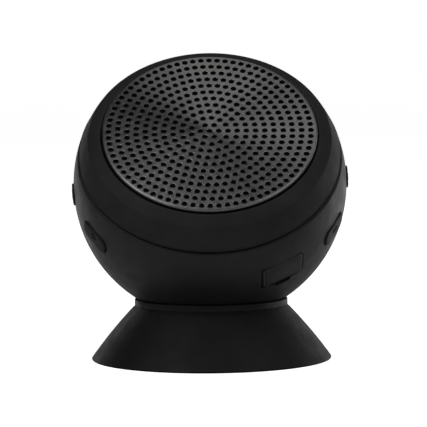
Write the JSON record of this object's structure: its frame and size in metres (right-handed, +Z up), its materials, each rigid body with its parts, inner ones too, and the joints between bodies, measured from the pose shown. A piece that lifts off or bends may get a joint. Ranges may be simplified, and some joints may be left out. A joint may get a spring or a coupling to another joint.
{
  "type": "shower speaker",
  "caption": "Ball-shaped waterproof speaker with a tilted round perforated metal grille, side buttons and a port cover, turning and tilting on a rubber suction cup.",
  "frame": {"origin": "centre of the suction cup's flat resting ring, on the plane that it rests on", "axes": "+Z up, from the cup through the ball's centre; the grille faces -Y and up, 44.3 degrees from straight up at rest; +X is to the right of someone who looks at the grille"},
  "size_m": [0.0852, 0.0825, 0.0942],
  "materials": {
    "cup_rubber": "matte black moulded rubber",
    "soft_shell": "soft-touch matte black coat over moulded plastic",
    "face_shell": "dead-matte black moulded plastic of the ring round the grille",
    "button_rubber": "matte black silicone rubber",
    "grille_metal": "gunmetal satin, turned grain",
    "acoustic_cloth": "fine black water-shedding acoustic cloth",
    "seal_rubber": "black seal rubber",
    "surround_rubber": "thin satin rubber roll",
    "spider_cloth": "resin-stiffened corrugated cloth",
    "cone_poly": "black polypropylene",
    "copper_coil": "enamelled copper winding on a former",
    "frame_steel": "black painted pressed steel",
    "ferrite": "dark sintered ferrite",
    "zinc_steel": "zinc-plated steel",
    "nickel_magnet": "nickel-plated magnet",
    "shield_can": "tinned steel",
    "circuit_board": "green solder mask",
    "chip_black": "black moulded epoxy",
    "battery_wrap": "blue film wrap",
    "inner_plastic": "black moulded plastic",
    "acetal": "off-white acetal",
    "phenolic": "brown laminate",
    "red_wire": "red insulated wire",
    "led_body": "white body",
    "clear_lens": "clear moulded light pipe"
  },
  "bodies": {
    "base": {"suction_cup": "cup_rubber", "base_hub": "inner_plastic", "glide_ring": "acetal", "pivot_screw": "zinc_steel", "pivot_washer": "zinc_steel"},
    "swivel": {"neck_collar": "soft_shell", "seat_ring": "seal_rubber", "magnet_cup": "zinc_steel", "seat_magnet": "nickel_magnet"},
    "ball": {"front_shell": "face_shell", "rear_shell": "soft_shell", "seam_gasket": "seal_rubber", "front_grille": "grille_metal", "grille_cloth": "acoustic_cloth", "driver_gasket": "seal_rubber", "driver_frame": "frame_steel", "driver_surround": "surround_rubber", "driver_spider": "spider_cloth", "top_plate": "zinc_steel", "driver_magnet": "ferrite", "yoke": "zinc_steel", "driver_screws": "zinc_steel", "terminal_strip": "phenolic", "speaker_leads": "red_wire", "main_board": "circuit_board", "radio_module": "shield_can", "board_chips": "chip_black", "charge_socket": "shield_can", "switch_housings": "chip_black", "battery_cell": "battery_wrap", "battery_tray": "inner_plastic", "battery_leads": "red_wire", "board_screws": "zinc_steel", "housing_screws": "zinc_steel", "keeper_plate": "zinc_steel", "status_led": "led_body", "light_pipe": "clear_lens"},
    "cone": {"driver_cone": "cone_poly", "dust_cap": "cone_poly", "voice_coil": "copper_coil"},
    "volume_up": {"volume_up_button": "button_rubber", "volume_up_plunger": "acetal"},
    "volume_down": {"volume_down_button": "button_rubber", "volume_down_plunger": "acetal"},
    "play": {"play_button": "button_rubber", "play_plunger": "acetal"},
    "power": {"power_button": "button_rubber", "power_plunger": "acetal"},
    "port_flap": {"port_cover": "button_rubber"}
  },
  "joints": [
    {"name": "pan", "type": "hinge", "parent": "base", "child": "swivel", "pos_m": [0, 0, 0.01], "axis": [0, 0, 1], "continuous": true},
    {"name": "tilt", "type": "hinge", "parent": "swivel", "child": "ball", "pos_m": [0, 0, 0.054], "axis": [1, 0, 0], "range_deg": [-44.3, 8]},
    {"name": "cone_travel", "type": "slide", "parent": "ball", "child": "cone", "axis": [0, -0.6984, 0.7157], "range_m": [-0.0008, 0.0008], "stiffness_N_per_m": 1200, "deforming": ["driver_surround", "driver_spider"]},
    {"name": "volume_up_press", "type": "slide", "parent": "ball", "child": "volume_up", "axis": [-1, 0, 0], "range_m": [0, 0.0006], "stiffness_N_per_m": 2000, "springref_m": -0.0003},
    {"name": "volume_down_press", "type": "slide", "parent": "ball", "child": "volume_down", "axis": [-0.891, 0.3249, 0.3171], "range_m": [0, 0.0006], "stiffness_N_per_m": 2000, "springref_m": -0.0003},
    {"name": "play_press", "type": "slide", "parent": "ball", "child": "play", "axis": [0.8339, 0.395, 0.3855], "range_m": [0, 0.0006], "stiffness_N_per_m": 2000, "springref_m": -0.0003},
    {"name": "power_press", "type": "slide", "parent": "ball", "child": "power", "axis": [0.9945, 0.0748, 0.073], "range_m": [0, 0.0006], "stiffness_N_per_m": 2000, "springref_m": -0.0003},
    {"name": "port_cover_swing", "type": "hinge", "parent": "ball", "child": "port_flap", "pos_m": [0.01552, -0.02745, 0.02707], "axis": [0, 0.6984, -0.7157], "range_deg": [0, 100]}
  ]
}
